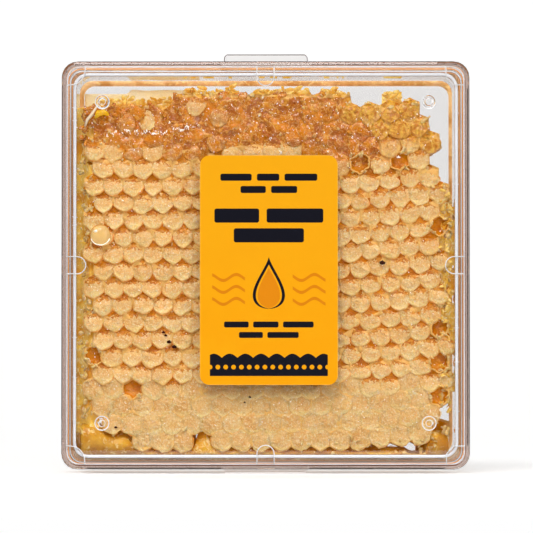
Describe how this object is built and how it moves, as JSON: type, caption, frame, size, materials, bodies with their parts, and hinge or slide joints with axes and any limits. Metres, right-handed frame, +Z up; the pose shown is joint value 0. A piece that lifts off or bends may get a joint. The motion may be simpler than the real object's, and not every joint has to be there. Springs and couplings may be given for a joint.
{
  "type": "honeycomb piece in a clear box",
  "caption": "Square piece of capped honeycomb in a shut, clear, shallow plastic box with a label on its lid; it stands upright on foot tabs.",
  "frame": {"origin": "on the floor plane under the middle of the box, at the underside of the foot tabs", "axes": "+Z up, -Y is the way the lid with its label faces, +X is to the right when facing the lid"},
  "size_m": [0.1094, 0.0358, 0.1138],
  "materials": {
    "base_plastic": "clear moulded plastic",
    "lid_plastic": "clear moulded plastic, glossy",
    "label_paper": "smooth coated paper, yellow-orange with near-black print",
    "wax": "pale cream-yellow beeswax caps over amber cells, wet in places",
    "honey": "clear amber honey"
  },
  "bodies": {
    "root": {"box_base": "base_plastic", "box_lid": "lid_plastic", "label": "label_paper", "honeycomb": "wax", "honey": "honey"}
  },
  "joints": []
}
